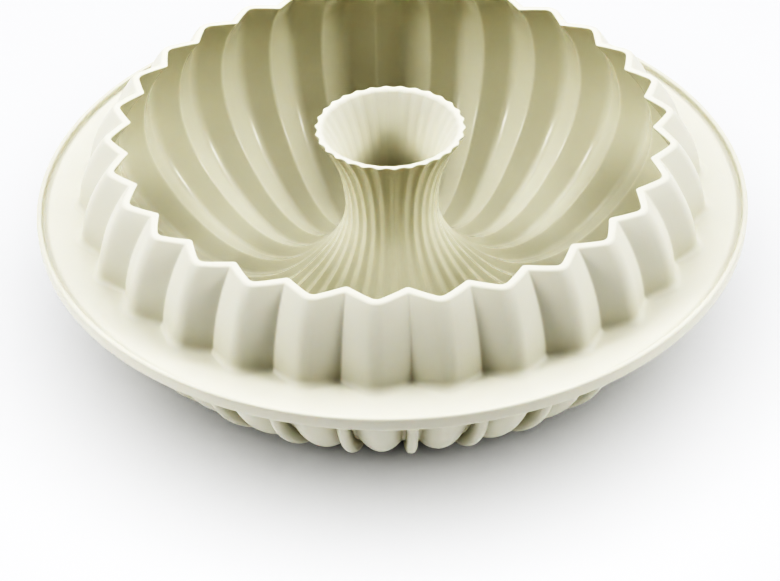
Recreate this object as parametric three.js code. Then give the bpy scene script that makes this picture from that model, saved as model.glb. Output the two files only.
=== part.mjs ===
// Silicone ring cake mould: a fluted ring cavity round an open chimney, a flat flange with a raised lip
// below its zigzag rim, and a rib in every outside groove, whose feet stand the mould level.
// In life it is one moulding. Each mesh here is one moulded region of it, and the regions meet on flat
// or matching faces. Millimetres, +Z up, with the origin on the ground in the middle of the ring.
// The first groove and its rib lie on -Y, and the others follow anticlockwise seen from above.
import * as THREE from 'three';
import { mergeVertices } from 'three/addons/utils/BufferGeometryUtils.js';

// Cake cavity, measured on the crests between its flutes
const ringRadius = 60; // the lowest line of the cavity
const cavityReach = 45.8; // from that line out to the widest level
const rimHeight = 33; // from the widest level up to the rim
const rimInset = 14; // how far the rim leans in from the widest level
const floorDepth = 45.8; // from the widest level down to the floor
const outerDip = 2.2; // how much flatter than round the wall is between the widest level and the floor
const chimneyDip = 3.1; // and how much flatter than round the chimney's foot is

// Chimney
const neckRadius = 16.9;
const mouthFlare = 10.1; // from the neck out to the mouth
const mouthDrop = 0.8; // how far the mouth lies below the rim

// Flutes and wall
const fluteCount = 30;
const fluteDepth = 4.7; // at the widest level, and less nearer the axis
const lobeWall = 2.2; // wall at the tip of a lobe
const grooveWall = 2.45; // wall at the bottom of a groove

// Flange
const flangeDrop = 26.5; // from the rim down to the flange's top
const flangeThickness = 3;
const flangeWidth = 14.3; // from the widest lobe out to the flange's edge
const lipWidth = 2;
const lipHeight = 1.8;
const lipChamfer = 0.6;

// Support fins
const finThickness = 3.7;
const finProud = 0.8; // how far a fin stands out past the lobes beside it
const finSideGap = 0.4; // least groove floor left bare on each side of a fin
const clearance = 0.3; // between a fin and the groove floor, and between the bowl and the chimney's foot
const footCut = 0.4; // how much of each fin's lowest bend is flattened into a foot

// Blunting of the zigzag: the share of a half flute that is flat at its inner and outer tips
const cavityTips = { inner: 0.1, outer: 0.16 };
const collarTips = { inner: 0.05, outer: 0.25 };
const lobeTipShare = 0.2;
const plainTips = { inner: 0.25, outer: 0.25 }; // evenly spaced corners

// Steps along each stretch of the wall's section
const collarSteps = 3;
const bowlSteps = 6;
const chimneySteps = 7;

// Sizes that follow
const halfFlute = Math.PI / fluteCount;
const widestRadius = ringRadius + cavityReach;
const chimneyReach = ringRadius - neckRadius;
const mouthHeight = rimHeight - mouthDrop;
const flangeTop = rimHeight - flangeDrop;
const flangeUnder = flangeTop - flangeThickness;
const flangeRadius = widestRadius + fluteDepth + lobeWall + flangeWidth;
const floorFluteDepth = (fluteDepth * ringRadius) / widestRadius;
const centreHeight = floorDepth + floorFluteDepth + lobeWall + finProud - footCut;
const grooveFloorShare = Math.asin((finThickness / 2 + finSideGap) / ringRadius) / halfFlute;
const bowlTips = { inner: grooveFloorShare, outer: lobeTipShare };

// Half height of an ellipse of this half width that passes through a point on it
function ellipseHalfHeight(halfWidth, across, height) {
  return height / Math.sqrt(1 - (across / halfWidth) ** 2);
}
const collarRise = ellipseHalfHeight(cavityReach, cavityReach - rimInset, rimHeight);
const chimneyRise = ellipseHalfHeight(chimneyReach, chimneyReach - mouthFlare, mouthHeight);

// The wall's section is drawn round the middle of the ring, where the widest level crosses the lowest
// line. An angle is measured there, 0 pointing out, -90 degrees at the floor and -180 at the neck.
const outward = 0;
const floorAngle = -Math.PI / 2;
const neckAngle = -Math.PI;
const rimZenith = Math.PI / 2;
const mouthZenith = -1.5 * Math.PI;

// Distance from that middle to the crest of the flutes, on the cavity side
function cavityCrest(angle) {
  const across = Math.cos(angle);
  const up = Math.sin(angle);
  const outside = angle > floorAngle;
  const halfWidth = outside ? cavityReach : chimneyReach;
  const rise = outside ? collarRise : chimneyRise;
  const dip = outside ? outerDip : chimneyDip;
  const halfHeight = up > 0 ? rise : floorDepth;
  const ellipse = 1 / Math.hypot(across / halfWidth, up / halfHeight);
  return up > 0 ? ellipse : ellipse - dip * Math.sin(2 * angle) ** 2;
}

// The other lines of the wall: the flutes' valleys, and both again on the outside of the wall
function cavityValley(angle) {
  const radius = ringRadius + cavityCrest(angle) * Math.cos(angle);
  return cavityCrest(angle) + (fluteDepth * radius) / widestRadius;
}
const grooveFloor = (angle) => cavityCrest(angle) + grooveWall;
const lobeTip = (angle) => cavityValley(angle) + lobeWall;
const finEdge = (angle) => lobeTip(angle) + finProud;
const finRoot = (angle) => grooveFloor(angle) + clearance;

const cavitySkin = { inner: cavityCrest, outer: cavityValley, tips: cavityTips };
const collarSkin = { inner: grooveFloor, outer: lobeTip, tips: collarTips };
const bowlSkin = { inner: grooveFloor, outer: lobeTip, tips: bowlTips };

// A point of a line, as radius and height above the ground
function linePoint(line, angle) {
  const distance = line(angle);
  const radius = angle === floorAngle ? ringRadius : ringRadius + distance * Math.cos(angle);
  return new THREE.Vector2(radius, centreHeight + distance * Math.sin(angle));
}

// The angle at which a line reaches a height above the widest level, between two angles that lie
// below and above it
function levelAngle(line, height, below, above) {
  let low = below;
  let high = above;
  for (let halving = 0; halving < 50; halving++) {
    const middle = (low + high) / 2;
    if (line(middle) * Math.sin(middle) < height) low = middle;
    else high = middle;
  }
  return (low + high) / 2;
}
const atRim = (line) => levelAngle(line, rimHeight, floorAngle, rimZenith);
const atFlangeTop = (line) => levelAngle(line, flangeTop, floorAngle, rimZenith);
const atFlangeUnder = (line) => levelAngle(line, flangeUnder, floorAngle, rimZenith);
const atGround = (line) => levelAngle(line, -centreHeight, floorAngle, outward);
const atFloor = () => floorAngle;
const atChimneyFoot = () => floorAngle - clearance / floorDepth;
const atMouth = (line) => levelAngle(line, mouthHeight, neckAngle, mouthZenith);

// Points along a line from one place to another
function lineBetween(line, from, to, steps) {
  const start = from(line);
  const turn = to(line) - start;
  return Array.from({ length: steps + 1 }, (_, i) => linePoint(line, start + (turn * i) / steps));
}

// Rows of a fluted skin: each holds the points of its inner and outer tips
function fluteRows(skin, from, to, steps) {
  const inner = lineBetween(skin.inner, from, to, steps);
  const outer = lineBetween(skin.outer, from, to, steps);
  return inner.map((point, i) => ({ inner: point, outer: outer[i], tips: skin.tips }));
}

// A row of a plain circle
function circleRow(radius, height) {
  const point = new THREE.Vector2(radius, centreHeight + height);
  return { inner: point, outer: point, tips: plainTips };
}

// The corners round one row, four to a flute: both edges of an inner tip, then of an outer one
function rowCorners(row) {
  const corners = [];
  for (let flute = 0; flute < fluteCount; flute++) {
    const middle = 2 * halfFlute * flute;
    const innerTurn = halfFlute * row.tips.inner;
    const outerTurn = halfFlute * row.tips.outer;
    corners.push({ point: row.inner, angle: middle - innerTurn });
    corners.push({ point: row.inner, angle: middle + innerTurn });
    corners.push({ point: row.outer, angle: middle + halfFlute - outerTurn });
    corners.push({ point: row.outer, angle: middle + halfFlute + outerTurn });
  }
  return corners;
}

// A closed ring through rows that run anticlockwise round its section, up on its outside
function flutedRing(rows) {
  const closed = [...rows, rows[0]];
  const columns = 4 * fluteCount;
  const ring = new THREE.LatheGeometry(closed.map((row) => row.inner), columns);
  const position = ring.getAttribute('position');
  closed.forEach((row, j) => {
    const corners = rowCorners(row);
    for (let i = 0; i <= columns; i++) {
      const { point, angle } = corners[i % columns];
      const x = point.x * Math.sin(angle);
      const y = -point.x * Math.cos(angle);
      position.setXYZ(i * closed.length + j, x, y, point.y);
    }
  });
  ring.deleteAttribute('normal');
  ring.deleteAttribute('uv');
  return mergeVertices(ring);
}

// Each region in the mould's cream silicone
const mould = new THREE.Group();
function addRegion(name, geometry) {
  geometry.computeVertexNormals();
  const silicone = new THREE.MeshStandardMaterial({ color: 0xe8e4d4, roughness: 0.5, metalness: 0 });
  const region = new THREE.Mesh(geometry, silicone);
  region.name = name;
  mould.add(region);
  return region;
}

// Zigzag collar: the wall from the flange up to the rim, leaning in as it rises
addRegion('fluted_collar', flutedRing([
  ...fluteRows(collarSkin, atFlangeTop, atRim, collarSteps),
  ...fluteRows(cavitySkin, atRim, atFlangeTop, collarSteps),
]));

// Flange: a flat ring from the cavity's face out to its edge
const [flangeInnerUnder] = fluteRows(cavitySkin, atFlangeUnder, atFloor, 1);
const [flangeInnerTop] = fluteRows(cavitySkin, atFlangeTop, atFloor, 1);
addRegion('flange', flutedRing([
  flangeInnerUnder,
  circleRow(flangeRadius, flangeUnder),
  circleRow(flangeRadius, flangeTop),
  flangeInnerTop,
]));

// Lip: a low bead along the flange's edge
const lipInner = flangeRadius - lipWidth;
const lipTop = flangeTop + lipHeight;
addRegion('edge_lip', flutedRing([
  circleRow(lipInner, flangeTop),
  circleRow(flangeRadius, flangeTop),
  circleRow(flangeRadius, lipTop - lipChamfer),
  circleRow(flangeRadius - lipChamfer, lipTop),
  circleRow(lipInner + lipChamfer, lipTop),
  circleRow(lipInner, lipTop - lipChamfer),
]));

// Bowl: the lobed wall from the flange down to the lowest line
addRegion('fluted_bowl', flutedRing([
  ...fluteRows(bowlSkin, atFloor, atFlangeUnder, bowlSteps),
  ...fluteRows(cavitySkin, atFlangeUnder, atFloor, bowlSteps),
]));

// Chimney: from the lowest line up through the neck to the scalloped mouth, open right through
addRegion('chimney', flutedRing([
  ...fluteRows(cavitySkin, atChimneyFoot, atMouth, chimneySteps),
  ...fluteRows(bowlSkin, atMouth, atChimneyFoot, chimneySteps),
]));

// Support fins: one in each groove, from the flange's underside down to a flat foot on the ground
const finOutline = new THREE.Shape([
  ...lineBetween(finRoot, atFlangeUnder, atFloor, bowlSteps),
  new THREE.Vector2(ringRadius, 0),
  ...lineBetween(finEdge, atGround, atFlangeUnder, bowlSteps),
]);
const fin = new THREE.ExtrudeGeometry(finOutline, { depth: finThickness, bevelEnabled: false });
fin.translate(0, 0, -finThickness / 2);
fin.rotateX(Math.PI / 2);
for (let flute = 0; flute < fluteCount; flute++) {
  const number = String(flute + 1).padStart(2, '0');
  const region = addRegion(`support_fin_${number}`, fin.clone());
  region.rotation.z = 2 * halfFlute * flute - Math.PI / 2;
}

export default mould;
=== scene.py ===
# Looks of a silicone ring cake mould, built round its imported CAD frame. Sizes are metres, +Z is up.
import math

import bmesh
import bpy
from mathutils import Matrix, Vector


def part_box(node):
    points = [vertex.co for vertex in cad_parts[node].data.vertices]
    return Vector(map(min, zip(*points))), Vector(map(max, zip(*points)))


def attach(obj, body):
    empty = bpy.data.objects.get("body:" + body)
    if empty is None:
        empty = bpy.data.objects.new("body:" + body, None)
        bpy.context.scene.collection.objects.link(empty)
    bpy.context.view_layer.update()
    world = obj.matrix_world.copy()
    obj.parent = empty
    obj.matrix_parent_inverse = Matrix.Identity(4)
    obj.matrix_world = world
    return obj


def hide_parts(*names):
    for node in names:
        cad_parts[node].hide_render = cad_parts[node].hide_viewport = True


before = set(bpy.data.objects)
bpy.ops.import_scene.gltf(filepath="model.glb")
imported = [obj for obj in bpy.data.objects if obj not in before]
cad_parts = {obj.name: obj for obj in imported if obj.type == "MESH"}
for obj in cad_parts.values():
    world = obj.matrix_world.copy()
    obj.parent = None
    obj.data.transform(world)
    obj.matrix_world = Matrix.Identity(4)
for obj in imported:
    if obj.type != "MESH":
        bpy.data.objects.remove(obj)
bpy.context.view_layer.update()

# Moulded body: the ring cavity, its chimney, the zigzag collar and the flange are one shot of cream
# silicone, pressed between two halves of a steel mould. Its wall runs on without a seam from the rim,
# round the cavity and the chimney's mouth, back under the bowl and out to the flange's lip.
MM = 0.001
flute_count = 30
half_flute = math.pi / flute_count
rim_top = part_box("fluted_collar")[1].z
mouth_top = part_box("chimney")[1].z
flange_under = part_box("flange")[0].z
flange_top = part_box("flange")[1].z
lip_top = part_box("edge_lip")[1].z

# The cavity, measured on the crests between its flutes, and the wall round it
ring_radius = 60 * MM
cavity_reach = 45.8 * MM
floor_depth = 45.8 * MM
rim_inset = 14 * MM
outer_dip = 2.2 * MM
chimney_dip = 3.1 * MM
neck_radius = 16.9 * MM
mouth_flare = 10.1 * MM
flute_depth = 4.7 * MM
lobe_wall = 2.2 * MM
groove_wall = 2.45 * MM
rim_height = 33 * MM
widest_level = rim_top - rim_height
widest_radius = ring_radius + cavity_reach
chimney_reach = ring_radius - neck_radius
chimney_soft = 0.7
bore_plain = 0.55

# The flange and its lip, and the rounding of the edges
flange_radius = 127 * MM
lip_width = 2 * MM
rim_round = {"inside": 0.3 * MM, "outside": 1.5 * MM}
mouth_round = {"inside": 0.3 * MM, "bore": 2.0 * MM}
lip_round = 0.7 * MM
edge_round = 0.8 * MM
lip_fillet = 0.5 * MM
under_fillet = 1.0 * MM
foot_fillet = {"groove": 1.9 * MM, "lobe": 3.2 * MM}
support = 0.8 * MM


def half_height(half_width, across, height):
    """Half height of an ellipse of this half width that passes through a point on it."""
    return height / math.sqrt(1 - (across / half_width) ** 2)


collar_rise = half_height(cavity_reach, cavity_reach - rim_inset, rim_height)
chimney_rise = half_height(chimney_reach, chimney_reach - mouth_flare, mouth_top - widest_level)
floor_angle = -math.pi / 2
neck_angle = -math.pi
rim_zenith = math.pi / 2
mouth_zenith = -1.5 * math.pi


def crest(angle):
    """Distance of the flutes' crests from the middle of the ring's section: 0 is out, -90 degrees down."""
    across = math.cos(angle)
    up = math.sin(angle)
    outside = angle > floor_angle
    half_width = cavity_reach if outside else chimney_reach
    rise = collar_rise if outside else chimney_rise
    dip = outer_dip if outside else chimney_dip
    ellipse = 1 / math.hypot(across / half_width, up / (rise if up > 0 else floor_depth))
    return ellipse if up > 0 else ellipse - dip * math.sin(2 * angle) ** 2


def valley(angle):
    """Distance of the flutes' valleys: shallower nearer the axis, and soft waves on the chimney."""
    radius = ring_radius + crest(angle) * math.cos(angle)
    soft = min(radius / ring_radius, 1) ** chimney_soft
    return crest(angle) + flute_depth * soft * radius / widest_radius


def groove_floor(angle):
    """Distance of the outside of the wall behind a crest."""
    return crest(angle) + groove_wall


def lobe_tip(angle):
    """Distance of the outside of the wall behind a valley, where the chimney's bore is nearly plain."""
    plain = min(max((floor_angle - angle) / (floor_angle - neck_angle), 0), 1) * bore_plain
    return (1 - plain) * (valley(angle) + lobe_wall) + plain * groove_floor(angle)


def line_point(line, angle):
    """A point of one of these lines, as radius and height."""
    reach = line(angle)
    return Vector((ring_radius + reach * math.cos(angle), widest_level + reach * math.sin(angle)))


halvings = 50


def level_angle(line, height, below, above):
    """The angle at which a line reaches a height, found between two angles by halving."""
    for _ in range(halvings):
        middle = (below + above) / 2
        if line_point(line, middle).y < height:
            below = middle
        else:
            above = middle
    return (below + above) / 2


def line_between(line, start, end, steps):
    """The points of a line inside a stretch of it, without the stretch's two ends."""
    return [line_point(line, start + (end - start) * i / steps) for i in range(1, steps)]


# How the wall bends across half a flute, as shares of its width: the flat floor of the groove, the hollow
# beside it and the round tip of the lobe. What lies between hollow and tip is a straight flank.
rim_flutes = Vector((0, 0.10, 0.17))
cavity_flutes = Vector((0, 0.08, 0.22))
chimney_flutes = Vector((0, 0.30, 0.50))
collar_flutes = Vector((0, 0.05, 0.28))
under_flutes = Vector((0.27, 0.04, 0.67))

# Columns of faces across half a flute, and how many of them bend its floor, hollow and tip
columns = 11
floored_columns = (1, 2, 6)
pointed_columns = (0, 3, 4)


def flute_columns(flutes):
    """Columns across half a flute, each as a share of its width and a share of its depth."""
    floor, hollow, tip = flutes
    floor_columns, hollow_columns, tip_columns = floored_columns if floor else pointed_columns
    flank_columns = columns - floor_columns - hollow_columns - tip_columns
    spans = [(floor, floor + hollow, hollow_columns), (floor + hollow, 1 - tip, flank_columns),
             (1 - tip, 1, tip_columns)]
    shares = [0.0] if floor else []
    for start, end, steps in spans:
        shares += [start + (end - start) * i / steps for i in range(steps)]
    shares.append(1.0)
    slope = 1 / (1 - floor - hollow / 2 - tip / 2)
    found = []
    for share in shares:
        if share < floor + hollow:
            depth = slope * max(share - floor, 0) ** 2 / (2 * hollow)
        elif share < 1 - tip:
            depth = slope * (share - floor - hollow / 2)
        else:
            depth = 1 - slope * (1 - share) ** 2 / (2 * tip)
        found.append((share, depth))
    return found


# Shares of the way from the rim to the mouth at which the cavity's V is reached, and left again
cavity_share = 0.12
chimney_share = 0.55


def cavity_bend(share):
    """The flutes' bend inside, from crisp at the rim through the cavity's V to soft waves on the chimney."""
    if share < cavity_share:
        return rim_flutes.lerp(cavity_flutes, share / cavity_share)
    return cavity_flutes.lerp(chimney_flutes, max(share - chimney_share, 0) / (1 - chimney_share))


# The section through a groove and through a lobe, corner by corner: a point, the bend of its flutes and the
# radius it is rounded to. Both run the same way round and have the same number of corners.
cavity_steps = 52
under_steps = 42
collar_steps = 7


def wall_corners(inside, outside, fillet):
    """The corners of the wall's outline in one plane through the axis."""
    rim_in = level_angle(inside, rim_top, floor_angle, rim_zenith)
    rim_out = level_angle(outside, rim_top, floor_angle, rim_zenith)
    mouth_in = level_angle(inside, mouth_top, neck_angle, mouth_zenith)
    mouth_out = level_angle(outside, mouth_top, neck_angle, mouth_zenith)
    foot = level_angle(outside, flange_top, floor_angle, rim_zenith)
    under = level_angle(outside, flange_under, floor_angle, rim_zenith)
    lip_inner = flange_radius - lip_width
    corners = [(line_point(inside, rim_in), rim_flutes, rim_round["inside"])]
    for i, point in enumerate(line_between(inside, rim_in, mouth_in, cavity_steps), 1):
        corners.append((point, cavity_bend(i / cavity_steps), 0))
    corners.append((line_point(inside, mouth_in), chimney_flutes, mouth_round["inside"]))
    corners.append((line_point(outside, mouth_out), under_flutes, mouth_round["bore"]))
    corners += [(point, under_flutes, 0) for point in line_between(outside, mouth_out, under, under_steps)]
    corners.append((line_point(outside, under), under_flutes, under_fillet))
    corners.append((Vector((flange_radius - 2 * edge_round, flange_under)), under_flutes, 0))
    corners.append((Vector((flange_radius, flange_under)), under_flutes, edge_round))
    corners.append((Vector((flange_radius, lip_top)), collar_flutes, lip_round))
    corners.append((Vector((lip_inner, lip_top)), collar_flutes, lip_round))
    corners.append((Vector((lip_inner, flange_top)), collar_flutes, lip_fillet))
    corners.append((Vector((lip_inner - lip_fillet - support, flange_top)), collar_flutes, 0))
    toe = line_point(outside, foot).x + fillet + support
    corners.append((Vector((toe, flange_top)), collar_flutes, 0))
    corners.append((line_point(outside, foot), collar_flutes, fillet))
    corners += [(point, collar_flutes, 0) for point in line_between(outside, foot, rim_out, collar_steps)]
    corners.append((line_point(outside, rim_out), collar_flutes, rim_round["outside"]))
    return corners


def rounded(corners, steps):
    """A closed outline in which each corner that has a radius is an arc."""
    outline = []
    for i, (point, flutes, radius) in enumerate(corners):
        if not radius:
            outline.append((point, flutes))
            continue
        back = (corners[i - 1][0] - point).normalized()
        ahead = (corners[(i + 1) % len(corners)][0] - point).normalized()
        half_corner = back.angle(ahead) / 2
        centre = point + (back + ahead).normalized() * radius / math.sin(half_corner)
        start = point + back * radius / math.tan(half_corner) - centre
        end = point + ahead * radius / math.tan(half_corner) - centre
        for step in range(steps + 1):
            arm = start.lerp(end, step / steps).normalized() * radius
            outline.append((centre + arm, flutes))
    return outline


corner_steps = 4
groove_section = rounded(wall_corners(crest, groove_floor, foot_fillet["groove"]), corner_steps)
lobe_section = rounded(wall_corners(valley, lobe_tip, foot_fillet["lobe"]), corner_steps)
flutes_across = [flute_columns(flutes) for point, flutes in groove_section]

# The outline starts inside the rim, so its first stations, as far as the mouth, are the polished ones
polished_stations = cavity_steps - 1 + 2 * (corner_steps + 1)

# One half flute is spun from the groove's section, pressed into shape, mirrored and repeated round the axis
body = bmesh.new()
station = body.verts.layers.int.new("station")
polish = body.verts.layers.float.new("polish")
outline = []
for number, (point, flutes) in enumerate(groove_section):
    vert = body.verts.new((0, -point.x, point.y))
    vert[station] = number
    vert[polish] = 1.0 if number < polished_stations else 0.0
    outline.append(vert)
edges = [body.edges.new((vert, outline[i - 1])) for i, vert in enumerate(outline)]
axis = {"cent": (0, 0, 0), "axis": (0, 0, 1)}
bmesh.ops.spin(body, geom=outline + edges, angle=half_flute, steps=columns, **axis)
for vert in body.verts:
    column = round(math.atan2(vert.co.x, -vert.co.y) / half_flute * columns)
    share, depth = flutes_across[vert[station]][column]
    point = groove_section[vert[station]][0].lerp(lobe_section[vert[station]][0], depth)
    turn = half_flute * share
    vert.co = (point.x * math.sin(turn), -point.x * math.cos(turn), point.y)
weld = 0.001 * MM
half = body.verts[:] + body.edges[:] + body.faces[:]
bmesh.ops.mirror(body, geom=half, matrix=Matrix.Identity(4), axis="X", merge_dist=weld)
flute = body.verts[:] + body.edges[:] + body.faces[:]
others = flute_count - 1
bmesh.ops.spin(body, geom=flute, angle=2 * half_flute * others, steps=others, use_duplicate=True, **axis)
bmesh.ops.remove_doubles(body, verts=body.verts[:], dist=weld)
bmesh.ops.recalc_face_normals(body, faces=body.faces[:])
for face in body.faces:
    face.smooth = True


class Finish:
    """A socket in a material's nodes. Arithmetic on it adds Math nodes."""

    def __init__(self, tree, socket=None):
        self.tree = tree
        self.socket = socket

    def node(self, kind, settings, inputs, output=0):
        """Adds a node: its settings first, then the values or links of its sockets."""
        made = self.tree.nodes.new(kind)
        for name, value in settings.items():
            setattr(made, name, value)
        for name, value in inputs.items():
            if isinstance(value, Finish):
                self.tree.links.new(value.socket, made.inputs[name])
            else:
                made.inputs[name].default_value = value
        return Finish(self.tree, made.outputs[output] if made.outputs else None)

    def maths(self, operation, first, second):
        """Adds a Math node on two values."""
        return self.node("ShaderNodeMath", {"operation": operation}, {0: first, 1: second})

    def __add__(self, other):
        return self.maths("ADD", self, other)

    def __sub__(self, other):
        return self.maths("SUBTRACT", self, other)

    def __rsub__(self, other):
        return self.maths("SUBTRACT", other, self)

    def __mul__(self, other):
        return self.maths("MULTIPLY", self, other)

    __radd__ = __add__
    __rmul__ = __mul__


# Cream silicone: satin where the polished half of the steel mould pressed the cavity, duller outside, with
# a very fine grain and a faint cloudiness in colour and shine
cream = (0.76, 0.75, 0.67, 1)
warm_cream = (0.735, 0.72, 0.635, 1)
cloud_scale = 45
cloud_detail = 3
cloud_middle = 0.5
grain_scale = 2400
grain_detail = 2
grain_strength = 0.15
grain_depth = 0.1 * MM
outside_roughness = 0.5
polish_gain = 0.265
cloud_roughness = 0.04
silicone_ior = 1.41
glow_weight = 0.15
glow_radius = (1.0, 0.8, 0.5)
glow_scale = 2 * MM
silicone = bpy.data.materials.new("cream_silicone")
silicone.use_nodes = True
silicone.node_tree.nodes.clear()
nodes = Finish(silicone.node_tree)
place = nodes.node("ShaderNodeTexCoord", {}, {}, "Object")
polished = nodes.node("ShaderNodeAttribute", {"attribute_name": "polish"}, {}, "Fac")
cloud = nodes.node("ShaderNodeTexNoise", {}, {
    "Vector": place, "Scale": cloud_scale, "Detail": cloud_detail}, "Fac")
grain = nodes.node("ShaderNodeTexNoise", {}, {
    "Vector": place, "Scale": grain_scale, "Detail": grain_detail}, "Fac")
# A Mix node has its factor at socket 0, its two colours at 6 and 7, and the mixed colour at output 2
colour = nodes.node("ShaderNodeMix", {"data_type": "RGBA"}, {0: cloud, 6: cream, 7: warm_cream}, 2)
roughness = outside_roughness - polish_gain * polished + cloud_roughness * (cloud - cloud_middle)
texture = nodes.node("ShaderNodeBump", {}, {
    "Height": grain, "Strength": grain_strength, "Distance": grain_depth})
surface = nodes.node("ShaderNodeBsdfPrincipled", {}, {
    "Base Color": colour, "Roughness": roughness, "Normal": texture, "IOR": silicone_ior,
    "Subsurface Weight": glow_weight, "Subsurface Radius": glow_radius, "Subsurface Scale": glow_scale})
nodes.node("ShaderNodeOutputMaterial", {}, {"Surface": surface})


def add_piece(name, shape):
    """Makes a silicone piece of the mould from a bmesh."""
    mesh = bpy.data.meshes.new(name)
    shape.to_mesh(mesh)
    shape.free()
    mesh.materials.append(silicone)
    piece = bpy.data.objects.new(name, mesh)
    bpy.context.scene.collection.objects.link(piece)
    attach(piece, "root")
    return piece


moulded_body = add_piece("moulded_body", body)
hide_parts("fluted_collar", "flange", "edge_lip", "fluted_bowl", "chimney")

# Support fins: thirty ribs of the same silicone, one in each outside groove, that stiffen the bowl and carry
# it on their feet. They are moulded on, so each is let into the groove's floor and the flange above it.
fin_thickness = 3.7 * MM
fin_proud = 0.8 * MM
fin_sunk = 0.6 * MM
fin_round = 1.75 * MM
fin_steps = 20
fin_round_steps = 5


def fin_root(angle):
    """Distance of a fin's inner edge, inside the wall behind the groove."""
    return groove_floor(angle) - fin_sunk


def fin_edge(angle):
    """Distance of a fin's outer edge, which stands proud of the lobes beside it."""
    return lobe_tip(angle) + fin_proud


def fin_line(line):
    """Points of a fin's edge from inside the flange down to the lowest line, none below the ground."""
    top = level_angle(line, flange_under + fin_sunk, floor_angle, rim_zenith)
    found = [line_point(line, top + (floor_angle - top) * i / fin_steps) for i in range(fin_steps + 1)]
    return [Vector((point.x, max(point.y, 0))) for point in found]


def fin_shape():
    """One fin on -Y: a strip between its two edges, thickened, with its outer edges rounded over."""
    fin = bmesh.new()
    outer = fin.verts.layers.int.new("outer")
    rails = []
    for number, line in enumerate((fin_root, fin_edge)):
        verts = [fin.verts.new((-fin_thickness / 2, -point.x, point.y)) for point in fin_line(line)]
        for vert in verts:
            vert[outer] = number
        rails += [fin.edges.new(pair) for pair in zip(verts, verts[1:])]
    bmesh.ops.bridge_loops(fin, edges=rails)
    thick = bmesh.ops.extrude_face_region(fin, geom=fin.faces[:], use_keep_orig=True)
    moved = [item for item in thick["geom"] if isinstance(item, bmesh.types.BMVert)]
    bmesh.ops.translate(fin, verts=moved, vec=(fin_thickness, 0, 0))
    bmesh.ops.recalc_face_normals(fin, faces=fin.faces[:])
    edges_along = []
    for edge in fin.edges:
        start, end = edge.verts
        if start[outer] and end[outer] and abs(start.co.x - end.co.x) < weld:
            edges_along.append(edge)
    bmesh.ops.bevel(fin, geom=edges_along, affect="EDGES", offset=fin_round, segments=fin_round_steps,
                    profile=0.5, material=-1)
    for face in fin.faces:
        face.smooth = True
    return fin


for number in range(flute_count):
    fin = fin_shape()
    turn = Matrix.Rotation(2 * half_flute * number, 4, "Z")
    bmesh.ops.transform(fin, matrix=turn, verts=fin.verts[:])
    moulded_fin = add_piece(f"moulded_fin_{number + 1:02d}", fin)
    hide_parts(f"support_fin_{number + 1:02d}")

# Studio floor: a plain matt white sheet, on which the mould stands by its fins' feet. It is wide enough to
# fill the view from any side.
floor_half = 6.0
floor_white = (0.915, 0.92, 0.945, 1)
floor_roughness = 0.9
sheet = bmesh.new()
bmesh.ops.create_grid(sheet, x_segments=1, y_segments=1, size=floor_half)
floor_mesh = bpy.data.meshes.new("studio_floor")
sheet.to_mesh(floor_mesh)
sheet.free()
white = bpy.data.materials.new("white_floor")
white.use_nodes = True
white_sockets = white.node_tree.nodes["Principled BSDF"].inputs
white_sockets["Base Color"].default_value = floor_white
white_sockets["Roughness"].default_value = floor_roughness
floor_mesh.materials.append(white)
studio_floor = bpy.data.objects.new("studio_floor", floor_mesh)
bpy.context.scene.collection.objects.link(studio_floor)

# Studio light: large softboxes at both sides and behind, weak ones in front, a small one over the chimney for
# the back of the cavity, and a wide sky for the floor alone, in a dark room. The camera sees none of them.
room_white = (1, 1, 1, 1)
room_strength = 0.02
room = bpy.data.worlds.new("studio_room")
room.use_nodes = True
room_sockets = room.node_tree.nodes["Background"].inputs
room_sockets["Color"].default_value = room_white
room_sockets["Strength"].default_value = room_strength
bpy.context.scene.world = room

# The softboxes hang round the mould and face its middle. Their azimuths and heights are degrees.
softbox_distance = 1.5
softboxes = {
    "high_right": {"azimuth": 72, "height": 48, "size": 0.9, "watts": 20},
    "high_left": {"azimuth": 288, "height": 48, "size": 0.9, "watts": 20},
    "front_right": {"azimuth": 120, "height": 32, "size": 0.9, "watts": 3},
    "front_left": {"azimuth": 240, "height": 32, "size": 0.9, "watts": 3},
    "side_right": {"azimuth": 106, "height": 33, "size": 0.35, "watts": 21.5},
    "side_left": {"azimuth": 254, "height": 33, "size": 0.35, "watts": 21.5},
    "top": {"azimuth": 0, "height": 88, "size": 0.5, "watts": 5},
    "behind": {"azimuth": 0, "height": 32, "size": 0.9, "watts": 8},
    "behind_high": {"azimuth": 0, "height": 58, "size": 0.9, "watts": 22},
}
fill_place = Vector((0, -30, 250)) * MM
fill_aim = Vector((0, 1000, 250)) * MM
fill_size = 60 * MM
fill_watts = 0.15
floor_sky = {"azimuth": 180, "height": 72, "spread": 96, "strength": 10.2}
mould_middle = Vector((0, 0, widest_level))

# The softboxes light all but the floor, and the sky lights the floor alone
floor_alone = bpy.data.collections.new("floor_alone")
floor_alone.objects.link(studio_floor)
all_but_floor = bpy.data.collections.new("all_but_floor")
all_but_floor.objects.link(studio_floor)
all_but_floor.collection_objects[0].light_linking.link_state = "EXCLUDE"


def lamp_place(azimuth, height):
    """Where a lamp hangs round the mould: azimuth 0 is behind it and 90 at its right."""
    lift = Matrix.Rotation(math.radians(height), 3, "X")
    swing_round = Matrix.Rotation(-math.radians(azimuth), 3, "Z")
    return mould_middle + swing_round @ lift @ Vector((0, softbox_distance, 0))


def hang(lamp, place, aim, lit):
    """Hangs a lamp at a place, facing a point, and lets it light one collection alone."""
    stand = bpy.data.objects.new(lamp.name, lamp)
    stand.location = place
    stand.rotation_euler = (aim - place).to_track_quat("-Z", "Y").to_euler()
    stand.light_linking.receiver_collection = lit
    stand.visible_camera = False
    bpy.context.scene.collection.objects.link(stand)


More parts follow.
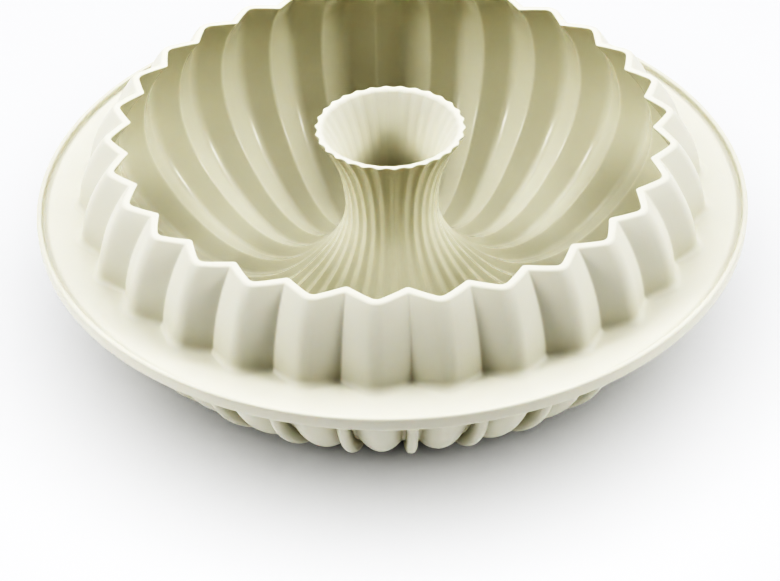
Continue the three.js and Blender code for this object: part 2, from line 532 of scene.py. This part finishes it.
def square_lamp(name, size, watts):
    """A softbox of this size and power."""
    lamp = bpy.data.lights.new(name, "AREA")
    lamp.shape = "SQUARE"
    lamp.size = size
    lamp.energy = watts
    return lamp


for name, softbox in softboxes.items():
    lamp = square_lamp(name, softbox["size"], softbox["watts"])
    hang(lamp, lamp_place(softbox["azimuth"], softbox["height"]), mould_middle, all_but_floor)
hang(square_lamp("cavity_fill", fill_size, fill_watts), fill_place, fill_aim, all_but_floor)
sky = bpy.data.lights.new("floor_sky", "SUN")
sky.angle = math.radians(floor_sky["spread"])
sky.energy = floor_sky["strength"]
hang(sky, lamp_place(floor_sky["azimuth"], floor_sky["height"]), mould_middle, floor_alone)

# Camera at the photograph's place: its lens, height, distance, tilt and roll were fitted to the thirty teeth
# of the rim and to the flange's edge
lens = 88.37
sensor_width = 36
elevation = math.radians(38.61)
roll = math.radians(1.452)
swing = math.radians(-2.547)
eye = Vector((-1.506, -563.86, 459.45)) * MM
photo_camera = bpy.data.cameras.new("photo_camera")
photo_camera.lens = lens
photo_camera.sensor_width = sensor_width
camera = bpy.data.objects.new("photo_camera", photo_camera)
tilt = Matrix.Rotation(math.pi / 2 - elevation, 4, "X") @ Matrix.Rotation(-roll, 4, "Z")
camera.matrix_world = Matrix.Rotation(swing, 4, "Z") @ Matrix.Translation(eye) @ tilt
bpy.context.scene.collection.objects.link(camera)
bpy.context.scene.camera = camera

# Tone of the print: a steep curve with a soft shoulder, so that light cream runs up to white. The curve acts
# on linear light, so each level that is to be shown is turned back from sRGB.
tone_power = 2.5
tone_top = 1.06
tone_white = 8.0
tone_points = 24
srgb_offset = 0.055
srgb_power = 2.4
view = bpy.context.scene.view_settings
view.view_transform = "Standard"
view.use_curve_mapping = True
tone = view.curve_mapping
tone.white_level = (tone_white, tone_white, tone_white)
# The last of the four curves acts on red, green and blue alike
joint_curve = tone.curves[-1]
for i in range(1, tone_points):
    share = (i / tone_points) ** 2
    light = (share * tone_white) ** tone_power
    shown = min(tone_top * light / (light + 1), 1)
    joint_curve.points.new(share, ((shown + srgb_offset) / (1 + srgb_offset)) ** srgb_power)
tone.update()
